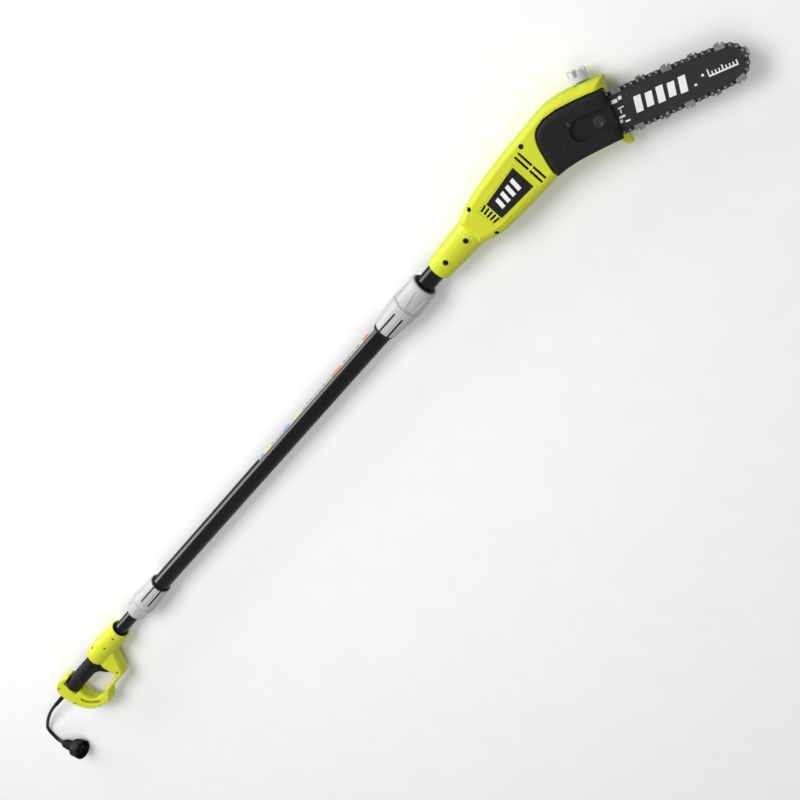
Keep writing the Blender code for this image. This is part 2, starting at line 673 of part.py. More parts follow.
def build_cover(head):
    outline = cover_outline()
    top = COVER_TOP
    cover = slab(outline, [(DECK_Z + GAP, 0), (top - 6.5, 0), (top - 2.0, 2.6), (top, 7.5)])
    inner = slab(inset(outline, 3.0), [(DECK_Z - 2, 0), (top - 12, 0), (top - 10, 2)])
    mouth = [tuple(bar_point(s, w)) for s, w in ((2, -38), (60, -38), (60, 37.5), (12, 37.5))]
    mouth = prism(mouth, DECK_Z - 2, BAR_Z + 4.5)
    trough = prism(stadium(tuple(bar_point(-29, 0)), tuple(bar_point(60, 0)), 16.5, 8), top - 6, top + 20)
    bolt = upright(rod(0, 60, 4.6), STUD.x, STUD.y, 12)
    adjuster = upright(rod(0, 60, 4.4), *ADJUSTER_AT, 12)
    node("bar_cover", cut(cover, inner, mouth, trough, bolt, adjuster), DARK, head)

    node("bar_stud", upright(rod(-3.5, top - 1.5, 4.0), STUD.x, STUD.y, 12), STEEL, head)
    nut_axis = empty("bar_nut_axis", (STUD.x, STUD.y, top - 4), parent=head)
    nut = [
        (top - 5.6, 4.3), (top - 5.6, 9.6), (top - 4.2, 9.6), (top - 4.2, 7.4), (top - 0.6, 7.0), (top - 0.6, 4.3),
    ]
    node("bar_nut", upright(nut, STUD.x, STUD.y, 12), STEEL, nut_axis, (STUD.x, STUD.y, top - 4))
    screw_axis = empty("tension_axis", (*ADJUSTER_AT, top - 6), parent=head)
    screw = [
        (top - 14, 0), (top - 14, 6.5), (top - 12.5, 6.5), (top - 12.5, 4.0), (top - 0.6, 4.0), (top, 3.2), (top, 0),
    ]
    node("tension_screw", upright(screw, *ADJUSTER_AT, 14), STEEL, screw_axis, (*ADJUSTER_AT, top - 6))


def build_oil(head):
    outline = [(556, 34), (572, 31), (588, 24.2), (604, 17.5), (618, 9), (612, -2), (566, 4), (556, 16)]
    tank = prism(inset(anticlockwise(outline), 2.5), -17.6, -0.6)
    neck = moved(turned(rod(-14, -3, 8.0), 14), along(CAP_AXIS, CAP_BASE))
    mouth = moved(turned(rod(-9, 5, 6.2), 12), along(CAP_AXIS, CAP_BASE))
    node("oil_tank", cut(union(tank, neck), mouth), PALE, head)
    cap_axis = empty("oil_cap_axis", CAP_BASE, parent=head)
    cap_profile = [(-8, 0), (-8, 5.8), (2.6, 5.8), (2.6, 14.2), (4, 15), (18, 14.6), (20, 13), (20, 0)]
    cap = moved(turned(cap_profile, 24), along(CAP_AXIS, CAP_BASE))
    notches = []
    for k in range(6):
        spin = Matrix.Rotation(math.radians(60 * k + 20), 4, "X")
        cutter = moved(box((12, -3, 11.0), (30, 3, 30)), spin)
        notches.append(moved(cutter, along(CAP_AXIS, CAP_BASE)))
    node("oil_cap", cut(cap, *notches), PALE, cap_axis, CAP_BASE)
    node("oil_pump", box((566, -50, -18), (584, -37, -6)), DARK, head)


# ---------------------------------------------------------------- drive


def ridged(count, r_low, r_high, width):
    """An outline of count narrow teeth of one width, standing on a circle."""
    outline = []
    for k in range(count):
        centre = 2 * math.pi * k / count
        for r, share in ((r_low, -1), (r_high, -0.7), (r_high, 0.7), (r_low, 1)):
            half = width / 2 / r * share
            outline.append((r * math.cos(centre + half), r * math.sin(centre + half)))
    return outline


def build_gearing(head):
    """Face gear, shaft and sprocket on one upright axis, with the bearings that hold them."""
    at = (*DRIVE_AT, 0)
    axis = empty("drive_axis", at, parent=head)
    hub = upright([(-17, 5.4), (-17, 22.4), (-11, 22.4), (-11, 5.4)], *DRIVE_AT, 24)
    teeth = []
    for k in range(GEAR_TEETH):
        spin = Matrix.Rotation(MOTOR_TILT + 2 * math.pi * (k + 0.5) / GEAR_TEETH, 4, "Z")
        tooth = box((FACE_TEETH_IN, -0.75, -11.3), (FACE_TEETH_OUT, 0.75, -8.5))
        teeth.append(moved(tooth, Matrix.Translation(at) @ spin))
    node("face_gear", union(hub, group(*teeth)), STEEL, axis, at)
    shaft = [(-23, 0), (-23, 4), (-17.5, 4), (-17.5, 5.1), (BAR_Z + 5, 5.1), (BAR_Z + 5, 0)]
    node("output_shaft", upright(shaft, *DRIVE_AT, 14), STEEL, axis, at)
    sprocket = moved(prism(ridged(6, 7.4, 9.5, 3.0), BAR_Z - 2.3, BAR_Z + 2.3), Matrix.Translation(at))
    node("sprocket", cut(sprocket, upright(rod(0, 20, 5.4), *DRIVE_AT, 14)), STEEL, axis, at)
    node("output_bearing", upright([(1.8, 5.4), (1.8, 11.1), (7.2, 11.1), (7.2, 5.4)], *DRIVE_AT, 16), STEEL, head)
    node("foot_bearing", upright([(-23.6, 4.3), (-23.6, 9.5), (-18, 9.5), (-18, 4.3)], *DRIVE_AT, 16), STEEL, head)


def build_motor(head):
    """Motor drawn along its own axis: X = 0 at the face gear's centre, the fan at X = -100."""
    axis = empty("motor_axis", (*DRIVE_AT, MOTOR_Z), (0, 0, MOTOR_TILT), head)

    def on_motor(name, mesh, look):
        node(name, mesh, look, axis).location = (0, 0, 0)

    on_motor("motor_stator", turned([(-160, 14), (-160, 20.5), (-108, 20.5), (-108, 14)], 20), STEEL)
    on_motor("brush_ring", turned([(-186, 11), (-186, 18), (-170, 18), (-170, 11)], 16), DARK)
    on_motor("rear_bearing", turned([(-197, 3.4), (-197, 9), (-191, 9), (-191, 3.4)], 14), STEEL)
    on_motor("front_bearing", turned([(-78, 4.3), (-78, 11), (-70, 11), (-70, 4.3)], 14), STEEL)
    on_motor("armature", turned(tube(-158, -110, 13.2, 4.3), 18), COPPER)
    on_motor("commutator", turned(tube(-185, -171, 9.5, 4.3), 16), COPPER)
    shaft = [(-199, 0), (-199, 3.1), (-190, 3.1), (-190, 4.0), (-22.3, 4.0), (-22.3, 0)]
    on_motor("motor_shaft", turned(shaft, 12), STEEL)
    fan = [turned(tube(-100, -97, 18.5, 4.3), 16)]
    for k in range(8):
        blade = box((-97.5, -0.7, 9), (-87, 0.7, 18))
        fan.append(moved(blade, Matrix.Rotation(math.radians(45 * k), 4, "X")))
    on_motor("cooling_fan", union(*fan), DARK)
    gear = prism(ridged(PINION_TEETH, 4.9, 7.3, 1.6), -FACE_TEETH_OUT, -FACE_TEETH_IN - 0.2)
    on_motor("pinion", moved(gear, Matrix.Rotation(math.radians(90), 4, "Y")), STEEL)


# ---------------------------------------------------------------- bar and chain


def build_bar(head):
    pitch_z = BAR_PLATE + GAP
    slot_cut = prism(stadium(tuple(bar_point(-8, 0)), tuple(bar_point(10, 0)), 4.4, 5), -50, 50)
    for name, z, shrink in (("bar_plate_upper", pitch_z, 0), ("bar_core", 0, 7.0), ("bar_plate_lower", -pitch_z, 0)):
        low = BAR_Z + z - BAR_PLATE / 2
        plate = prism(bar_outline(shrink), low, low + BAR_PLATE)
        node(name, cut(plate, slot_cut), STEEL if shrink else DARK, head)

    count = 2 * DRIVE_LINKS
    places, step = chain_places(count)
    half = step / 2

    def strand(outer_of, inner_of, low, high):
        """One closed layer of links; outer_of and inner_of give each link's (along, height) corners."""
        outer, inner = [], []
        for k in range(count):
            a, b = places[k][0], places[(k + 1) % count][0]
            heading = (b - a).normalized()
            away = Vector((-heading.y, heading.x))
            for corners, edge in ((outer_of(k), outer), (inner_of(k), inner)):
                edge.extend(tuple((a + b) / 2 + heading * s + away * h) for s, h in corners)
        ring = prism(anticlockwise(outer), low, high)
        return cut(ring, prism(anticlockwise(inner), low - 5, high + 5))

    def strap(k):
        return [(-half + 1.2, 2.8), (half - 1.2, 2.8)]

    def cutter(k):
        """Side links: every fourth one carries a raked tooth behind its depth gauge."""
        if k % 8 == 1:
            return [(-half + 0.8, 4.6), (-half + 3.6, 6.2), (0.6, 6.0), (1.6, 3.0), (half - 1.6, 5.4)]
        return strap(k)

    def opposite(k):
        return cutter((k + 4) % count)

    def flat(k):
        return [(0, -3.2)]

    def tang(k):
        """Drive links: a pointed tang runs in the bar's groove on every other link."""
        if k % 2:
            return flat(k)
        return [(-2.2, -3.6), (-0.8, -7.4), (1.2, -7.4), (2.4, -3.6)]

    node("chain_drive_links", strand(strap, tang, BAR_Z - 0.6, BAR_Z + 0.6), STEEL, head)
    node("chain_upper_links", strand(cutter, flat, BAR_Z + 0.9, BAR_Z + 2.3), STEEL, head)
    node("chain_lower_links", strand(opposite, flat, BAR_Z - 2.3, BAR_Z - 0.9), STEEL, head)


# ---------------------------------------------------------------- assembly

clear_scene()
LIME = material("lime_plastic", (0.62, 0.74, 0.03), 0.38)
BLACK = material("black_paint", (0.012, 0.012, 0.013), 0.25, 0.3)
GREY = material("grey_plastic", (0.62, 0.63, 0.64), 0.42)
DARK = material("dark_plastic", (0.022, 0.022, 0.024), 0.5)
RUBBER = material("black_rubber", (0.03, 0.03, 0.035), 0.8)
PALE = material("pale_plastic", (0.78, 0.79, 0.8), 0.35)
STEEL = material("steel", (0.55, 0.56, 0.58), 0.32, 1.0)
COPPER = material("copper", (0.72, 0.38, 0.2), 0.35, 1.0)

ROOT = empty("pole_frame")
ROOT.location = POLE_AT
MID = empty("middle_section", parent=ROOT)
HEAD = empty("saw_head", parent=ROOT)

build_handle(ROOT)
build_cord(ROOT)
build_plug(ROOT)
build_mid(MID)
build_nuts(MID)
build_head_shells(HEAD)
build_cover(HEAD)
build_oil(HEAD)
build_gearing(HEAD)
build_motor(HEAD)
build_bar(HEAD)
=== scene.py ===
"""Looks of a telescoping pole saw that lies on its side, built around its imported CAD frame.

Shapes are drawn in the saw's own pole frame, in millimetres: +X runs up the pole to the bar, +Y points to
the oil cap's side and +Z out of the bar cover. POLE_AT is that frame's place in the row frame.
"""

import json
import math

import bmesh
import bpy
from mathutils import Euler, Matrix, Vector


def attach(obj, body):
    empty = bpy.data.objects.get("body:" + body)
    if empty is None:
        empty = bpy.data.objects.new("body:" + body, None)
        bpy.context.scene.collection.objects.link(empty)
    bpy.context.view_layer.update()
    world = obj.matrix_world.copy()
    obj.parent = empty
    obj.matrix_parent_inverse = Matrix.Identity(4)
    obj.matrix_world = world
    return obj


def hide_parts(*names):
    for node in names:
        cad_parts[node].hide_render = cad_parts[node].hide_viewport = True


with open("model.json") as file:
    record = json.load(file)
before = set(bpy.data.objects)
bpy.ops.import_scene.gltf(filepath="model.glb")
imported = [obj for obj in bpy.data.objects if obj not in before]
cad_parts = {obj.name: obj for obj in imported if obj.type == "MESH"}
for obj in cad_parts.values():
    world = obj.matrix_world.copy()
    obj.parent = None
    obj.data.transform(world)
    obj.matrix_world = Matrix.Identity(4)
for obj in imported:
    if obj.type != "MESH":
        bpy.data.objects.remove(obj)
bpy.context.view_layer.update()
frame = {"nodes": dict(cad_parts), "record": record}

NODES = frame["nodes"]
MM = 0.001
POLE_AT = Vector((166.196, 47.498, 27.0)) * MM
TO_ROW = Matrix.Translation(POLE_AT) @ Matrix.Scale(MM, 4)

# The camera's place in the pole frame, its turn in degrees about X, Y and Z, and its lens and sensor.
CAMERA_AT = (1047.26, 0.0, 1742.94)
CAMERA_TURN = (-25.763, 18.072, -51.930)
LENS, SENSOR = 54.08, 36.0

# The bar and chain: stud, angle, height, and the rail's half widths at distances from the stud.
STUD = Vector((582.0, -33.0))
BAR_ANGLE = math.radians(-24.5)
BAR_Z = 11.0
BAR_TOP = BAR_Z + 2.25
RAIL = [(20, 25.5), (60, 26.0), (110, 25.2), (160, 23.6)]
NOSE_S, NOSE_R = 187.5, 22.5
SPROCKET_S, SPROCKET_R = -44.0, 18.2
CHAIN_OVER_RAIL = 4.3
LINKS = 64
LINK_R, LINK_WAIST, LINK_FOOT = 2.8, 1.9, 3.95

# The lead: diameter in metres, centre line from the bend relief to the plug, and the plug's place.
GRIP_Y = -4.0
CORD_D = 0.007
CORD_ROUTE = [
    (-1168.0, -4.0, 0.0), (-1174.8, -4.1, -0.1), (-1181.5, -4.4, -1.2), (-1188.3, -4.8, -2.5),
    (-1195.0, -5.4, -3.8), (-1201.7, -6.2, -5.2), (-1208.4, -7.2, -6.5), (-1215.1, -8.3, -7.9),
    (-1221.7, -9.6, -9.3), (-1228.3, -11.1, -10.7), (-1234.8, -12.7, -12.1), (-1241.3, -14.5, -13.6),
    (-1247.7, -16.5, -15.1), (-1254.0, -18.7, -16.6), (-1260.3, -21.0, -18.0), (-1266.6, -24.9, -19.6),
    (-1271.9, -30.2, -21.0), (-1275.7, -36.7, -22.6), (-1277.9, -43.8, -23.2), (-1278.4, -51.3, -22.8),
    (-1277.1, -58.7, -21.4), (-1274.1, -65.6, -19.5), (-1269.9, -71.1, -17.6),
]
PLUG_FACE = Vector((-1227.0, -115.0, -3.9))
PLUG_AXIS = Vector((0.682, -0.698, 0.216)).normalized()

# Head screws as x, y, height of the seat and radius of the recess, and handle screws as x, y and height.
SCREW_SINK, SCREW_GAP = 1.1, 0.25
HEAD_SCREWS = [
    (256, -2, 22.5, 4.8), (307, -3, 24.5, 4.8), (350, 25, 25, 3.7), (351, -30, 21, 3.4), (478, 28, 29, 4.0),
]
HANDLE_SCREWS = [
    (-905, -3, 20.0), (-871, -3, 18.0), (-1103, 13, 11.0),
    (-1105, -33, 11.0), (-946, -56, 11.0), (-936, 17, 14.5),
]

CAP_TURN = math.radians(28)
CAP_AXIS = Vector((math.sin(CAP_TURN), math.cos(CAP_TURN), 0))
CAP_BASE = Vector((597.0, 24.5, 0.0))
COVER_TOP = 31.0
COLLAR_INSIDE = 17.5

# CAD nodes whose moulded edges are rounded: voxel size in mm and rounds of smoothing, or a bevel's width.
SOFTENED = {
    "head_shell_upper": (0.8, 8), "head_shell_lower": (0.9, 5), "handle_shell_upper": (0.8, 5),
    "handle_shell_lower": (0.9, 5), "bar_cover": (0.7, 3), "grip_sleeve": (0.6, 3),
}
BEVELLED = ("upper_collar", "lower_collar", "trigger", "lock_off_button", "tube_ferrule")
NODE_BEVEL = 0.6

# Sockets of the Mix node in its colour mode, which have no names of their own.
MIX_A, MIX_B, MIX_RESULT = 6, 7, 2


# ---------------------------------------------------------------- camera, floor, light


def row(x, y, z):
    """A pole-frame point in the row frame, in metres."""
    return POLE_AT + Vector((x, y, z)) * MM


def make_camera():
    """The photo's camera."""
    data = bpy.data.cameras.new("camera")
    data.sensor_width = SENSOR
    data.lens = LENS
    data.clip_start, data.clip_end = 0.05, 50
    camera = bpy.data.objects.new("camera", data)
    turn = Euler([math.radians(a) for a in CAMERA_TURN]).to_matrix().to_4x4()
    camera.matrix_world = Matrix.Translation(row(*CAMERA_AT)) @ turn
    bpy.context.scene.collection.objects.link(camera)
    bpy.context.scene.camera = camera


def make_light(name, at, toward, size, power, mirrored=False):
    """A soft box; only a mirrored one shows in glossy surfaces."""
    data = bpy.data.lights.new(name, "AREA")
    data.shape = "RECTANGLE"
    data.size, data.size_y = size
    data.energy = power
    light = bpy.data.objects.new(name, data)
    direction = (Vector(toward) - Vector(at)).normalized()
    turn = direction.to_track_quat("-Z", "X").to_matrix().to_4x4()
    light.matrix_world = Matrix.Translation(at) @ turn
    light.visible_glossy = mirrored
    bpy.context.scene.collection.objects.link(light)


def make_studio():
    """A pale floor that does not show in the saw's gloss, a dim white world and three soft boxes."""
    scene = bpy.context.scene
    scene.view_settings.view_transform = "Standard"
    world = bpy.data.worlds.new("studio")
    world.use_nodes = True
    back = world.node_tree.nodes["Background"]
    back.inputs["Color"].default_value = (1.0, 1.0, 1.0, 1)
    back.inputs["Strength"].default_value = 0.30
    scene.world = world
    bm = bmesh.new()
    bmesh.ops.create_grid(bm, x_segments=2, y_segments=2, size=8.0)
    mesh = bpy.data.meshes.new("floor")
    bm.to_mesh(mesh)
    bm.free()
    floor = bpy.data.objects.new("floor", mesh)
    scene.collection.objects.link(floor)
    mesh.materials.append(surface("pale_floor", (0.89, 0.89, 0.89), 0.6, grain=60, bump=0.02, tint=0.01))
    floor.visible_glossy = False
    make_light("key", (-0.2, 1.9, 2.6), (0, 0, 0), (1.8, 2.6), 80)
    make_light("overhead", (0.2, -0.9, 2.8), (0, 0, 0), (2.0, 3.0), 24)
    make_light("strip", (-1.5, 2.6, 0.52), (-1.5, 0, 0.2), (0.8, 4.4), 66, mirrored=True)


# ---------------------------------------------------------------- materials


def link(tree, a, b):
    tree.links.new(a, b)


def surface(name, colour, rough, metal=0.0, grain=1400.0, bump=0.15, tint=0.05, patch=18.0, spread=0.06,
            stretch=(1, 1, 1), coat=0.0, soft=0.0, wear=None, gloss=0.5):
    """A Principled material with uneven colour and gloss and a fine grain, all from its own noise.

    grain is the bump noise's scale per metre, tint the colour's share of change over patches, spread
    the change in roughness, stretch the noise's scale along X, Y and Z, gloss the specular level, and
    wear a second colour for rubs.
    """
    mat = bpy.data.materials.new(name)
    mat.use_nodes = True
    tree = mat.node_tree
    shader = tree.nodes["Principled BSDF"]
    shader.inputs["Metallic"].default_value = metal
    shader.inputs["Coat Weight"].default_value = coat
    shader.inputs["Coat Roughness"].default_value = 0.12
    shader.inputs["Specular IOR Level"].default_value = gloss
    shader.inputs["Subsurface Weight"].default_value = soft
    shader.inputs["Subsurface Radius"].default_value = (0.004, 0.004, 0.004)
    coord = tree.nodes.new("ShaderNodeTexCoord")
    mapping = tree.nodes.new("ShaderNodeMapping")
    mapping.inputs["Scale"].default_value = stretch
    link(tree, coord.outputs["Object"], mapping.inputs["Vector"])

    def noise(scale, detail):
        made = tree.nodes.new("ShaderNodeTexNoise")
        made.inputs["Scale"].default_value = scale
        made.inputs["Detail"].default_value = detail
        link(tree, mapping.outputs["Vector"], made.inputs["Vector"])
        return made.outputs["Fac"]

    ramp = tree.nodes.new("ShaderNodeValToRGB")
    ramp.color_ramp.elements[0].position = 0.3
    ramp.color_ramp.elements[1].position = 0.7
    ramp.color_ramp.elements[0].color = (*[c * (1 - tint) for c in colour], 1)
    ramp.color_ramp.elements[1].color = (*[min(1, c * (1 + tint)) for c in colour], 1)
    link(tree, noise(patch, 3), ramp.inputs["Fac"])
    tone = ramp.outputs["Color"]
    if wear:
        speck = tree.nodes.new("ShaderNodeMapRange")
        speck.inputs["From Min"].default_value = 0.62
        speck.inputs["From Max"].default_value = 0.74
        link(tree, noise(patch * 9, 6), speck.inputs["Value"])
        mix = tree.nodes.new("ShaderNodeMix")
        mix.data_type = "RGBA"
        mix.inputs[MIX_B].default_value = (*wear, 1)
        link(tree, speck.outputs["Result"], mix.inputs["Factor"])
        link(tree, tone, mix.inputs[MIX_A])
        tone = mix.outputs[MIX_RESULT]
    link(tree, tone, shader.inputs["Base Color"])
    uneven = tree.nodes.new("ShaderNodeMapRange")
    uneven.inputs["To Min"].default_value = max(0.03, rough - spread)
    uneven.inputs["To Max"].default_value = min(1.0, rough + spread)
    link(tree, noise(patch * 4, 4), uneven.inputs["Value"])
    link(tree, uneven.outputs["Result"], shader.inputs["Roughness"])
    relief = tree.nodes.new("ShaderNodeBump")
    relief.inputs["Strength"].default_value = bump
    relief.inputs["Distance"].default_value = 0.0002
    link(tree, noise(grain, 2), relief.inputs["Height"])
    link(tree, relief.outputs["Normal"], shader.inputs["Normal"])
    return mat


LIME = surface("lime_moulding", (0.575, 0.625, 0.022), 0.42, bump=0.22, tint=0.035, soft=0.02)
TUBE = surface("tube_coating", (0.004, 0.004, 0.0045), 0.15, grain=700, bump=0.03, tint=0.2, coat=0.22,
               spread=0.04, gloss=0.3, wear=(0.009, 0.009, 0.01))
GREY = surface("collar_moulding", (0.47, 0.475, 0.48), 0.40, bump=0.2, tint=0.04)
DARK = surface("black_moulding", (0.011, 0.011, 0.012), 0.5, bump=0.5, grain=1100, tint=0.12, gloss=0.35,
               wear=(0.017, 0.017, 0.018))
RUBBER = surface("black_rubber", (0.008, 0.0075, 0.009), 0.62, bump=0.6, grain=900, tint=0.15, gloss=0.35,
                 wear=(0.016, 0.016, 0.017))
CORD = surface("cord_jacket", (0.005, 0.005, 0.0055), 0.3, bump=0.12, grain=500, tint=0.15, coat=0.1)
MILKY = surface("milky_moulding", (0.60, 0.61, 0.62), 0.34, bump=0.12, tint=0.03, soft=0.35)
LABEL = surface("label_film", (0.46, 0.465, 0.47), 0.35, bump=0.05, tint=0.03)
STEEL = surface("bright_steel", (0.72, 0.73, 0.75), 0.26, metal=1.0, bump=0.18, grain=900, tint=0.08,
                stretch=(0.25, 1, 1))
SIDE = surface("side_link_steel", (0.085, 0.085, 0.092), 0.34, metal=0.8, bump=0.25, grain=900, tint=0.3,
               wear=(0.5, 0.5, 0.52))
# Dark steel colour for the drive links, bar rivets and printed label lines; on the plug's blades it is
# painted shade inside the plug's mouth.
DARK_STEEL_AND_SHADE = surface("blued_steel_and_painted_shade", (0.045, 0.045, 0.05), 0.36, metal=0.7, bump=0.25, grain=900, tint=0.25,
                wear=(0.3, 0.3, 0.31))
BAR = surface("bar_coating", (0.028, 0.028, 0.030), 0.42, metal=0.1, bump=0.2, grain=800, tint=0.12,
              gloss=0.35, stretch=(0.3, 1, 1), wear=(0.045, 0.045, 0.048))
COPPER = surface("copper_winding", (0.62, 0.3, 0.14), 0.38, metal=1.0, grain=2200, bump=0.8, tint=0.15)
CUTTER = surface("cutter_steel", (0.5, 0.5, 0.515), 0.3, metal=0.9, bump=0.2, grain=900, tint=0.3,
                 wear=(0.08, 0.08, 0.085))
NUT = surface("dark_nut", (0.06, 0.06, 0.064), 0.28, metal=0.6, bump=0.15, tint=0.2)
# Near-black screws: partly their own dark colour, partly painted shade, so the sunken screw wells read as
# dark holes.
SCREW_AND_WELL_SHADE = surface("black_screw_and_well_shade", (0.012, 0.012, 0.013), 0.42, metal=0.5, bump=0.2, tint=0.2, gloss=0.4)
PRINT = surface("pale_print", (0.80, 0.80, 0.80), 0.5, bump=0.1, tint=0.02)
ORANGE = surface("orange_print", (0.62, 0.14, 0.03), 0.5, bump=0.1, tint=0.02)
YELLOW = surface("yellow_print", (0.7, 0.55, 0.06), 0.5, bump=0.1, tint=0.02)
TEAL = surface("teal_print", (0.04, 0.30, 0.37), 0.5, bump=0.1, tint=0.02)

LOOKS = {
    "lime_plastic": LIME, "black_paint": TUBE, "grey_plastic": GREY, "dark_plastic": DARK,
    "black_rubber": RUBBER, "pale_plastic": MILKY, "steel": STEEL, "copper": COPPER,
}


# ---------------------------------------------------------------- helpers for shapes


def piece(name, bm, look, body, swap=(), bevel=0.0, segments=2, smooth_angle=38):
    """A mesh drawn in pole-frame millimetres as one piece that rides on a body."""
    bmesh.ops.recalc_face_normals(bm, faces=bm.faces)
    mesh = bpy.data.meshes.new(name)
    bm.to_mesh(mesh)
    bm.free()
    mesh.transform(TO_ROW)
    mesh.materials.append(look)
    mesh.shade_smooth()
    mesh.set_sharp_from_angle(angle=math.radians(smooth_angle))
    made = bpy.data.objects.new(name, mesh)
    bpy.context.scene.collection.objects.link(made)
    if bevel:
        rounding(made, bevel, segments)
    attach(made, body)
    if swap:
        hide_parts(*swap)
    return made


def rounding(obj, width, segments=2):
    """Rounds an object's edges by width millimetres with a bevel modifier."""
    bevel = obj.modifiers.new("edges", "BEVEL")
    bevel.width = width * MM
    bevel.segments = segments
    bevel.limit_method = "ANGLE"
    bevel.angle_limit = math.radians(32)
    bevel.harden_normals = True


def soften(node, voxel, rounds):
    """Rounds a CAD node's moulded edges by a fine remesh and a little smoothing, as modifiers."""
    obj = NODES[node]
    remesh = obj.modifiers.new("remesh", "REMESH")
    remesh.mode = "VOXEL"
    remesh.voxel_size = voxel * MM
    remesh.use_smooth_shade = True
    smooth = obj.modifiers.new("smooth", "SMOOTH")
    smooth.factor = 0.5
    smooth.iterations = rounds


def prism(bm, outline, low, high, matrix=Matrix.Identity(4)):
    """Adds an XY outline extruded from z = low to z = high, turned by matrix."""
    floor = [bm.verts.new(matrix @ Vector((x, y, low))) for x, y in outline]
    roof = [bm.verts.new(matrix @ Vector((x, y, high))) for x, y in outline]
    bm.faces.new(list(reversed(floor)))
    bm.faces.new(roof)
    for i in range(len(outline)):
        j = (i + 1) % len(outline)
        bm.faces.new((floor[i], floor[j], roof[j], roof[i]))


def lathe(bm, profile, segments, matrix=Matrix.Identity(4), radius=None):
    """Adds a closed (x, r) profile turned about X. radius(x, r, angle) may change r from place to place."""
    rings = []
    for x, r in profile:
        if r < 1e-6:
            rings.append([bm.verts.new(matrix @ Vector((x, 0, 0)))] * segments)
            continue
        ring = []
        for k in range(segments):
            angle = 2 * math.pi * k / segments
            rr = radius(x, r, angle) if radius else r
            ring.append(bm.verts.new(matrix @ Vector((x, rr * math.cos(angle), rr * math.sin(angle)))))
        rings.append(ring)
    for first, second in zip(rings, rings[1:] + rings[:1]):
        for k in range(segments):
            j = (k + 1) % segments
            corners = []
            for v in (first[k], first[j], second[j], second[k]):
                if v not in corners:
                    corners.append(v)
            if len(corners) > 2:
                bm.faces.new(corners)


def along(direction, at=(0, 0, 0)):
    """The turn and place that lay a lathed shape's axis along a direction."""
    return Matrix.Translation(Vector(at)) @ Vector(direction).to_track_quat("X", "Y").to_matrix().to_4x4()


def upright(x, y, z=0.0):
    """The turn and place that stand a lathed shape on +Z."""
    return Matrix.Translation((x, y, z)) @ along((0, 0, 1))


def bar_point(s, w):
    """The place at distance s from the stud along the bar and w beside its middle line."""
    axis = Vector((math.cos(BAR_ANGLE), math.sin(BAR_ANGLE)))
    return STUD + axis * s + Vector((-axis.y, axis.x)) * w


def arc(centre, r, start, end, steps):
    """Points on an arc of radius r round (centre, 0), with its angles in degrees."""
    angles = [math.radians(start + (end - start) * k / steps) for k in range(steps + 1)]
    return [(centre + r * math.cos(a), r * math.sin(a)) for a in angles]


def chain_places():
    """Rivet points round the bar and the sprocket, one step apart."""
    upper = [(s, w + CHAIN_OVER_RAIL) for s, w in RAIL]
    nose = arc(NOSE_S, NOSE_R + CHAIN_OVER_RAIL, 82, -82, 12)
    lower = [(s, -w) for s, w in reversed(upper)]
    tail = arc(SPROCKET_S, SPROCKET_R, 260, 100, 8)
    path = [bar_point(s, w) for s, w in upper + nose + lower + tail]
    closed = path + path[:1]
    lengths = [(b - a).length for a, b in zip(closed, closed[1:])]
    step = sum(lengths) / LINKS
    places, index, used = [], 0, 0.0
    for k in range(LINKS):
        target = k * step
        while used + lengths[index] < target:
            used += lengths[index]
            index += 1
        a, b = closed[index], closed[index + 1]
        places.append(a + (b - a) * ((target - used) / lengths[index]))
    return places


# ---------------------------------------------------------------- cord and plug


def smooth_line(points, spans=3):
    """A Catmull-Rom line through the points, with so many short spans between each two."""
    line = [Vector(p) for p in points]
    line = [2 * line[0] - line[1], *line, 2 * line[-1] - line[-2]]
    made = []
    for a, b, c, d in zip(line, line[1:], line[2:], line[3:]):
        slope, bow, twist = c - a, 2 * a - 5 * b + 4 * c - d, 3 * b - a - 3 * c + d
        for t in [k / spans for k in range(spans)]:
            made.append((2 * b + slope * t + bow * t * t + twist * t ** 3) / 2)
    return [*made, line[-2]]


def make_cord():
    """The power lead, with the plug and the bend relief on its ends."""
    route = smooth_line(CORD_ROUTE)
    line = bpy.data.curves.new("cord", "CURVE")
    line.dimensions = "3D"
    line.bevel_depth = CORD_D / 2
    line.bevel_resolution = 5
    line.use_fill_caps = True
    spline = line.splines.new("POLY")
    spline.points.add(len(route) - 1)
    for target, point in zip(spline.points, route):
        target.co = (*row(*point), 1)
    line.materials.append(CORD)
    cord = bpy.data.objects.new("power_lead", line)
    bpy.context.scene.collection.objects.link(cord)
    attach(cord, "handle")
    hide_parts("power_cord")
    plug = make_plug()
    face, pins = make_pins()
    relief = make_relief()


def make_plug():
    """Moulded plug: neck with a collar, ribbed waist and a shroud with a thin rim."""
    bm = bmesh.new()
    neck = [(-62, 0.0), (-62, 4.6), (-61.4, 5.4), (-57, 6.4), (-56, 7.0), (-55.4, 8.6), (-54.4, 9.3),
            (-52.6, 9.4), (-51.8, 8.8), (-50.5, 9.0)]
    ribs = []
    for k in range(6):
        x = -49.0 + 4.1 * k
        r = 9.2 + 0.38 * k
        ribs += [(x, r + 0.5), (x + 0.6, r + 1.1), (x + 2.2, r + 1.2), (x + 2.8, r + 0.6),
                 (x + 3.4, r + 0.1)]
    shroud = [(-24, 12.0), (-23.4, 12.8), (-22.9, 18.4), (-22.3, 19.2), (-21.6, 19.6), (-4.4, 20.6),
              (-4.0, 20.2), (-3.2, 20.2), (-2.8, 20.9), (-0.8, 20.9), (0, 20.3)]
    mouth = [(0, 19.2), (-0.6, 18.8), (-12.7, 17.4), (-12.7, 13.9), (-13, 13.7), (-13, 0.0)]

    def grip(x, r, angle):
        """Two flats on the ribbed waist."""
        if -50 < x < -24:
            return r * (1 - 0.05 * max(0.0, math.cos(2 * angle)) ** 2)
        return r

    lathe(bm, neck + ribs + shroud + mouth, 64, along(PLUG_AXIS, PLUG_FACE), grip)
    return piece("mains_plug", bm, RUBBER, "handle", swap=("plug_body",))


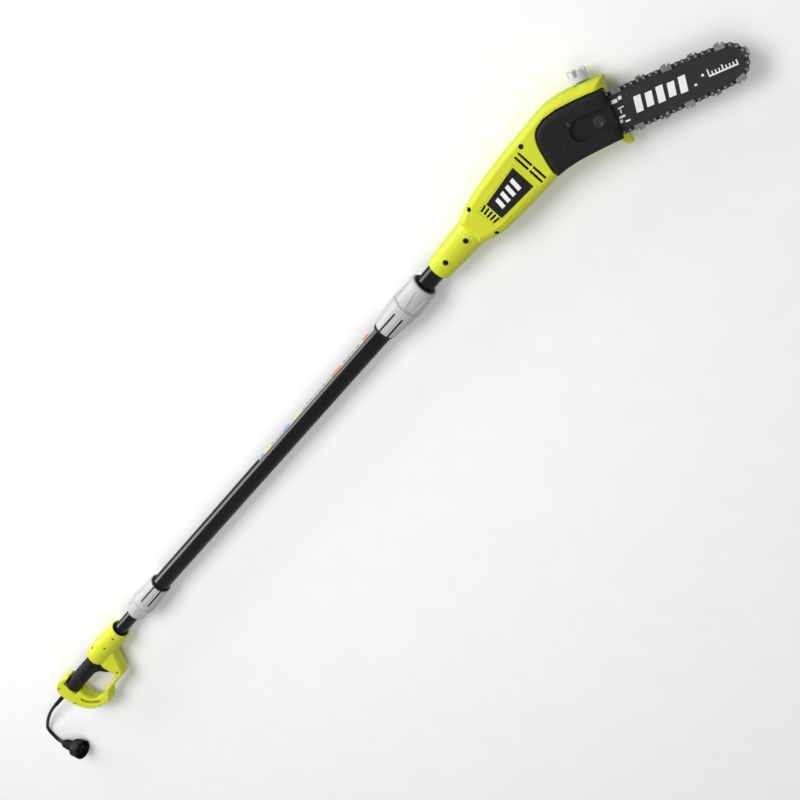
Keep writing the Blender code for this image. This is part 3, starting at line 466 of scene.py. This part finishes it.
def make_pins():
    """The plug's inner face with its two flat blades and a round earth pin. The face is the plug's own
    black; the blades are dimmed to dark steel as painted shade deep in the shroud's mouth.
    """
    place = along(PLUG_AXIS, PLUG_FACE)
    pad = bmesh.new()
    rim = [(-12.7, 0), (-12.7, 13.5), (-10.4, 13.5), (-9.8, 12.9), (-9.8, 10.6), (-10.5, 10.0), (-10.5, 0)]
    lathe(pad, rim, 48, place)
    face = piece("plug_face_disc", pad, DARK, "handle")
    metal = bmesh.new()
    for y in (-6.35, 6.35):
        blade = [(-10.6, -3.2), (1.6, -3.2), (2.8, -2.2), (2.8, 2.2), (1.6, 3.2), (-10.6, 3.2)]
        prism(metal, blade, y - 0.75, y + 0.75, place @ Matrix.Rotation(math.radians(90), 4, "X"))
    lathe(metal, [(-10.6, 0), (-10.6, 2.4), (3.2, 2.4), (4.6, 1.9), (5.3, 0.9), (5.5, 0)], 24,
          place @ Matrix.Translation((0, 0, -9.0)))
    # Blades in dark steel: painted shade inside the shroud, not the pins' bright metal.
    pins = piece("plug_blades", metal, DARK_STEEL_AND_SHADE, "handle", swap=("plug_insert",),
                 bevel=0.15, segments=1)
    return face, pins


def make_relief():
    """Bend relief with open rings, tapering to the cord."""
    bm = bmesh.new()
    profile = [(-1106, 0.0), (-1106, 7.4), (-1113, 7.4), (-1113, 4.9), (-1119, 4.9)]
    x = -1119.6
    while x > -1163:
        r = 4.95 - (-1119.6 - x) / 48 * 0.8
        profile += [(x, r), (x - 2.6, r - 0.04), (x - 3.0, r - 0.8), (x - 4.0, r - 0.8)]
        x -= 4.4
    profile += [(-1165.0, 4.1), (-1167.2, 4.0), (-1167.6, 3.6), (-1167.6, 0.0)]
    lathe(bm, profile, 40, Matrix.Translation((0, GRIP_Y, 0)))
    return piece("bend_relief", bm, RUBBER, "handle", swap=("strain_relief",))


# ---------------------------------------------------------------- chain and bar


def link_outline(half):
    """A side link: round upper ends over the rivets, a waist, and a flat foot on the rail."""
    wide, ankle, sole = half + LINK_R * 0.9, -LINK_FOOT + 0.8, half + LINK_R * 0.4
    front = [(wide, ankle), (half + LINK_R * 0.96, -0.4), *arc(half, LINK_R, 0, 105, 6)]
    back = [*arc(-half, LINK_R, 75, 180, 6), (-wide, ankle)]
    return [*front, (0, LINK_WAIST), *back, (-sole, -LINK_FOOT), (sole, -LINK_FOOT)]


def drive_outline(half):
    """A drive link: its tang reaches down into the bar's groove."""
    right = [(half + 0.8, 2.6), (half + 2.3, 1.4), (half + 2.6, -0.6), (half + 1.6, -2.6), (2.8, -3.2)]
    tang = [(2.2, -4.6), (0.9, -7.2), (-0.9, -7.0), (-2.3, -4.4)]
    left = [(-x, y) for x, y in reversed(right)]
    return [(1.8, 2.0), *right, *tang, *left, (-1.8, 2.0)]


def make_chain():
    """The chain as four pieces: drive links, tie straps, cutters and rivets."""
    places = chain_places()
    drive, straps, cutters, rivets = bmesh.new(), bmesh.new(), bmesh.new(), bmesh.new()
    rivet = [(-2.9, 0), (-2.9, 1.2), (-2.5, 1.75), (-2.22, 1.75), (-2.22, 0.9),
             (2.22, 0.9), (2.22, 1.75), (2.5, 1.75), (2.9, 1.2), (2.9, 0)]
    for k in range(LINKS):
        a, b = places[k], places[(k + 1) % LINKS]
        middle = (a + b) / 2
        heading = (b - a).normalized()
        lean = Matrix.Rotation(math.atan2(heading.y, heading.x), 4, "Z")
        turn = Matrix.Translation((middle.x, middle.y, BAR_Z)) @ lean
        half = (b - a).length / 2
        if k % 2 == 0:
            prism(drive, drive_outline(half), -0.62, 0.62, turn)
        else:
            # Every second pair of side links has a cutter, on one side and the other in turn.
            side = 1 if k % 8 == 1 else -1
            for layer in (1, -1):
                low, high = sorted((layer * 0.9, layer * 2.2))
                if k % 4 == 1 and layer == side:
                    cutter_link(cutters, half, low, high, layer, turn)
                else:
                    prism(straps, link_outline(half), low, high, turn)
        lathe(rivets, rivet, 12, upright(a.x, a.y, BAR_Z))
    piece("drive_link_set", drive, DARK_STEEL_AND_SHADE, "head", swap=("chain_drive_links",),
          bevel=0.15, segments=1)
    piece("tie_strap_set", straps, SIDE, "head", swap=("chain_upper_links", "chain_lower_links"),
          bevel=0.18, segments=1)
    piece("cutter_set", cutters, CUTTER, "head", bevel=0.12, segments=1)
    piece("chain_rivets", rivets, STEEL, "head")


def cutter_link(bm, half, low, high, layer, turn):
    """A cutter: depth gauge in front, and a raked tooth whose top plate leans over the chain."""
    foot = [(-half - 2.6, -3.1), (-half - 1.2, -LINK_FOOT), (half + 1.2, -LINK_FOOT), (half + 2.6, -3.1)]
    gauge = [(half + 2.75, 0), (half + 2.3, 3.2), (half + 1.2, 4.8), (half - 0.4, 5.0), (half - 2.0, 3.4),
             (half - 3.2, 2.0)]
    tooth = [(1.0, 2.2), (0.2, 3.8), (0.9, 5.9), (-0.6, 6.15), (-half - 1.6, 5.1), (-half - 2.5, 3.9),
             (-half - 2.75, 0)]
    body = foot + gauge + tooth
    prism(bm, body, low, high, turn)
    inner, outer = (low - 1.6, low + 0.4) if layer > 0 else (high - 0.4, high + 1.6)
    plate = [(0.6, 5.3), (0.95, 6.0), (-0.6, 6.2), (-half - 1.5, 5.2), (-half - 1.4, 4.5), (-0.8, 5.4)]
    prism(bm, plate, inner, outer, turn)


def make_bar_marks():
    """Generic pale graphics, rivets and the nose's open slots on the bar's upper face."""
    marks = bmesh.new()
    turn = Matrix.Translation((STUD.x, STUD.y, 0)) @ Matrix.Rotation(BAR_ANGLE, 4, "Z")

    def block(s0, s1, w0, w1, slant=0.0):
        outline = [(s0, w0), (s1, w0), (s1 + slant, w1), (s0 + slant, w1)]
        prism(marks, outline, BAR_TOP + 0.03, BAR_TOP + 0.12, turn)

    for k in range(5):
        low, high = -11.5 + (k % 2) * 1.5, 11.5 - (k % 2) * 1.5
        block(50 + 16.5 * k, 60.5 + 16.5 * k, low, high, 3.6)
    block(137, 140.5, -9.5, -6.5)
    block(150, 153.5, -1.2, 2.2)
    for k in range(9):
        tall = 9 - 0.45 * k if k % 4 == 0 else 4.5
        block(159 + 5 * k, 160.8 + 5 * k, -3.5, -3.5 + tall)
    block(159, 200.8, -5.6, -3.5)
    for spot in ((22, 31, 13.5, 19), (33, 38, 15.5, 20.5), (27, 36, 4, 5.6), (29, 30.6, -3, 3),
                 (24, 33, -9.5, -6.5), (23, 27, -16, -11.5), (30, 37.5, -17.5, -15)):
        block(*spot, slant=0.8)
    piece("bar_graphic", marks, PRINT, "head")
    rivets = bmesh.new()
    low, high = BAR_TOP - 0.4, BAR_TOP + 0.3
    button = [(low, 0), (low, 1.9), (BAR_TOP + 0.05, 1.9), (high, 1.4), (high, 0)]
    for s, w in ((176, 14), (190, 9.6), (190, -11), (198, 4.5), (45, 18), (45, -18)):
        lathe(rivets, button, 20, upright(*bar_point(s, w)))
    piece("bar_rivets", rivets, DARK_STEEL_AND_SHADE, "head")


# ---------------------------------------------------------------- fasteners


def make_screw(bm, x, y, top, r, depth=5.0):
    """A pan head with a cross recess, its shank below, facing +Z and turned by an angle of its own."""
    turn = Matrix.Translation((x, y, 0)) @ Matrix.Rotation(math.radians((x * 7) % 90), 4, "Z")
    angles = [2 * math.pi * k / 32 for k in range(32)]

    def ring(z, radii):
        return [bm.verts.new(turn @ Vector((q * math.cos(a), q * math.sin(a), z)))
                for q, a in zip(radii, angles)]

    shank, edge = r * 0.55, top - 1.9
    profile = [(top - depth, shank), (edge, shank), (edge, r), (top - 1.0, r), (top - 0.35, r * 0.86),
               (top, shank)]
    rings = [ring(z, [radius] * len(angles)) for z, radius in profile]
    cross = []
    for a in angles:
        off_arm = abs((a + math.pi / 4) % (math.pi / 2) - math.pi / 4)
        cross.append(r * (0.46 if off_arm < 0.3 else 0.16))
    rings.append(ring(top + 0.02, cross))
    rings.append(ring(top - 1.1, [q * 0.7 for q in cross]))
    for low, high in zip(rings, rings[1:]):
        for k in range(len(angles)):
            j = (k + 1) % len(angles)
            bm.faces.new((low[k], low[j], high[j], high[k]))
    bm.faces.new(rings[-1])
    bm.faces.new(list(reversed(rings[0])))


def make_screws():
    """Screws of the head, raised rings round the two on its neck, and screws of the handle."""
    head = bmesh.new()
    for x, y, seat, r in HEAD_SCREWS:
        make_screw(head, x, y, seat - SCREW_SINK, r - SCREW_GAP)
    # The head screws sit deep in their wells; their near-black colour is partly painted shade for the wells.
    piece("housing_screws", head, SCREW_AND_WELL_SHADE, "head",
          swap=("head_screw_1", "head_screw_2", "head_screw_3"))
    rings = bmesh.new()
    for x, y, seat, r in HEAD_SCREWS[:2]:
        rim = [(seat - 2.0, r + 0.1), (seat + 0.5, r + 0.15), (seat + 0.8, r + 0.5), (seat + 0.75, r + 1.0),
               (seat + 0.3, r + 1.5), (seat - 2.0, r + 1.9)]
        lathe(rings, rim, 48, upright(x, y))
    piece("screw_bosses", rings, LIME, "head")
    grip = bmesh.new()
    for x, y, seat in HANDLE_SCREWS:
        make_screw(grip, x, y, seat - 0.1, 2.6, 2.0)
    piece("handle_screws", grip, SCREW_AND_WELL_SHADE, "handle")


# ---------------------------------------------------------------- collars


def nut_shape(bm, profile, wedge_from, wedge_to, width, depth):
    """A lock nut whose six raised wedges narrow from wedge_from to wedge_to."""

    def radius(x, r, angle):
        if r < COLLAR_INSIDE:
            return r
        share = (x - wedge_from) / (wedge_to - wedge_from)
        if not -0.02 <= share <= 1.0:
            return r
        half = width * (1 - share)
        off = ((angle + math.radians(8)) % (math.pi / 3)) - math.pi / 6
        return r if abs(off) * r < half else r - depth

    lathe(bm, profile, 192, radius=radius)


def fine(profile, step):
    """A profile with extra points, so that no outer span is longer than step."""
    made = []
    for (x0, r0), (x1, r1) in zip(profile, profile[1:]):
        count = max(1, int(abs(x1 - x0) / step)) if min(r0, r1) > COLLAR_INSIDE else 1
        made += [(x0 + (x1 - x0) * k / count, r0 + (r1 - r0) * k / count) for k in range(count)]
    return [*made, profile[-1]]


def make_nuts():
    """The two lock nuts, each as a closed profile round the pole."""
    upper = bmesh.new()
    outline = [(164.5, 20.8), (145.3, 20.8), (145.3, 25.2), (146.2, 26.2), (150, 26.4), (186, 24.6),
               (190, 24.0), (192, 23.2), (193, 22.0), (193, 16.0), (181, 16.0), (180.5, 18.4)]
    nut_shape(upper, fine(outline, 1.0), 148.5, 184, 6.4, 1.4)
    piece("upper_nut_shell", upper, GREY, "upper_nut", swap=("upper_lock_nut",),
          smooth_angle=28)
    lower = bmesh.new()
    outline = [(-767.5, 19.8), (-749.2, 19.8), (-749.2, 24.4), (-750.2, 25.2), (-754, 25.2), (-781, 20.6),
               (-785, 19.9), (-787, 19.2), (-788, 18.0), (-788, 13.8), (-780, 13.8), (-779.5, 16.6)]
    nut_shape(lower, fine(outline, 1.0), -751.5, -780, 5.4, 1.2)
    piece("lower_nut_shell", lower, GREY, "lower_nut", swap=("lower_lock_nut",),
          smooth_angle=28)


# ---------------------------------------------------------------- head details


def make_cap():
    """Oil cap: six lobes with deep notches between them, round a sunken middle, on a plain skirt."""
    bm = bmesh.new()
    place = along(CAP_AXIS, CAP_BASE)
    segments, crown, notch = 180, 19.8, 10.5
    rings = []
    for k in range(segments):
        angle = 2 * math.pi * k / segments
        off = abs((math.degrees(angle) + 30) % 60 - 30)
        share = min(1.0, max(0.0, (off - 9.5) / 4.0))
        top = notch + (crown - notch) * share
        swell = 0.35 * math.cos(math.radians(6 * (math.degrees(angle) + 30)))
        skirt = [(2.7, 5.9), (2.7, 13.0), (3.2, 13.9), (4.0, 14.3), (5.4, 14.3), (6.0, 13.9)]
        side = [(notch - 2, 14.1 + swell), (top - 1.6, 14.2 + swell), (top - 0.5, 13.9 + swell), (top, 13.0)]
        well = [(top, 9.4), (top - 0.5, 8.7), (notch + 1.2, 8.2), (notch + 0.6, 7.6)]
        rings.append([bm.verts.new(place @ Vector((x, r * math.cos(angle), r * math.sin(angle))))
                      for x, r in skirt + side + well])
    middle = bm.verts.new(place @ Vector((notch + 0.6, 0, 0)))
    for k in range(segments):
        near, far = rings[k], rings[(k + 1) % segments]
        for i in range(len(near) - 1):
            bm.faces.new((near[i], far[i], far[i + 1], near[i + 1]))
        bm.faces.new((near[-1], far[-1], middle))
    stem = []
    for x in (2.7, -7.9):
        stem.append([bm.verts.new(place @ Vector((x, 5.8 * math.cos(a), 5.8 * math.sin(a))))
                     for a in [2 * math.pi * k / segments for k in range(segments)]])
    for k in range(segments):
        j = (k + 1) % segments
        bm.faces.new((stem[0][k], stem[0][j], rings[j][0], rings[k][0]))
        bm.faces.new((stem[0][k], stem[0][j], stem[1][j], stem[1][k]))
    bm.faces.new(stem[1])
    piece("lobed_oil_cap", bm, MILKY, "oil_cap", swap=("oil_cap",), smooth_angle=32)


def make_bar_nut():
    """Flanged hexagon nut on the bar stud, in the cover's trough."""
    bm = bmesh.new()
    low = COVER_TOP - 5.6

    def hexagon(z, r, angle):
        """Six flats on the part above the flange."""
        if z < low + 1.8 or r < 5:
            return r
        off = (angle + math.pi / 6) % (math.pi / 3) - math.pi / 6
        return min(r, 6.5 / math.cos(off))

    flange = [(low, 4.3), (low, 9.5), (low + 1.0, 9.6), (low + 1.5, 9.0), (low + 1.7, 7.3)]
    top = [(low + 1.8, 7.3), (low + 4.0, 7.3), (low + 4.8, 6.6), (low + 4.8, 4.9), (low + 4.3, 4.3)]
    lathe(bm, flange + top, 96, upright(*STUD), hexagon)
    piece("flanged_bar_nut", bm, NUT, "bar_nut", swap=("bar_nut",), smooth_angle=25)


def make_badge():
    """A thin raised border round the badge and its vents, and a plain generic mark on the badge."""
    bm = bmesh.new()
    outer = [(356.5, 15.5), (356.5, -25.5), (373, -28.0), (451.0, -28.6), (451.0, 21.5), (373, 16.2)]
    inner = [(358.1, 14.0), (358.1, -23.9), (373, -26.2), (449.4, -26.9), (449.4, 19.7), (373, 14.6)]
    low, high = 28.0, 29.55
    corners = [[bm.verts.new((x, y, z)) for x, y in outline]
               for outline, z in ((outer, low), (outer, high), (inner, high), (inner, low))]
    for first, second in zip(corners, corners[1:] + corners[:1]):
        for k in range(len(outer)):
            j = (k + 1) % len(outer)
            bm.faces.new((first[k], first[j], second[j], second[k]))
    piece("badge_border", bm, LIME, "head", bevel=0.35)
    mark = bmesh.new()
    for k in range(4):
        x = 388 + 12.5 * k
        prism(mark, [(x, -12), (x + 7, -12.4), (x + 9, 4.4 + k), (x + 2, 4 + k)], 30.12, 30.22)
    piece("badge_mark", mark, PRINT, "head")


def make_label():
    """Small printed blocks along the label strip on the middle tube."""
    inside, outside, steps = 17.42, 17.5, 4

    def patch(bm, x0, x1, a0, a1):
        """A thin block from x0 to x1 that follows the tube from a0 to a1 degrees away from +Z."""
        turns = [math.radians(a0 + (a1 - a0) * k / steps) for k in range(steps + 1)]
        grid = [[bm.verts.new((x, r * math.sin(a), r * math.cos(a))) for a in turns]
                for r in (inside, outside) for x in (x0, x1)]
        for one, two in ((grid[0], grid[1]), (grid[3], grid[2]), (grid[1], grid[3]), (grid[2], grid[0])):
            for k in range(steps):
                bm.faces.new((one[k], one[k + 1], two[k + 1], two[k]))
        for k in (0, -1):
            bm.faces.new((grid[0][k], grid[1][k], grid[3][k], grid[2][k]))

    sets = {
        "label_orange": (ORANGE, [(-52, -22), (44, 60)]),
        "label_yellow": (YELLOW, [(-170, -152), (-262, -246)]),
        "label_teal": (TEAL, [(-204, -184), (-280, -270)]),
    }
    for name, (look, spans) in sets.items():
        bm = bmesh.new()
        for x0, x1 in spans:
            patch(bm, x0, x1, 55, 79)
        piece(name, bm, look, "middle")
    lines = bmesh.new()
    for k in range(24):
        x = -242 + 12.6 * k
        if any(x0 - 11 < x < x1 + 3 for _, spans in sets.values() for x0, x1 in spans):
            continue
        patch(lines, x, x + 9.5 - (k % 3) * 1.5, 60, 63)
        patch(lines, x, x + 7.5 + (k % 4), 68, 71)
    piece("label_lines", lines, DARK_STEEL_AND_SHADE, "middle")


def dress_nodes():
    """Gives every CAD node its procedural material."""
    slots = {part["node"]: part["material_slot"] for part in frame["record"]["subparts"]}
    for name, obj in NODES.items():
        look = LOOKS[slots[name]]
        if name.startswith("bar_plate"):
            look = BAR
        if name in ("tension_screw", "bar_stud"):
            look = NUT
        if name == "label_strip":
            look = LABEL
        obj.data.materials.clear()
        obj.data.materials.append(look)


def main():
    make_studio()
    make_camera()
    dress_nodes()
    make_cord()
    make_chain()
    make_bar_marks()
    make_screws()
    make_nuts()
    make_cap()
    make_bar_nut()
    make_badge()
    make_label()
    for node, (voxel, rounds) in SOFTENED.items():
        soften(node, voxel, rounds)
    for node in BEVELLED:
        rounding(NODES[node], NODE_BEVEL)


main()
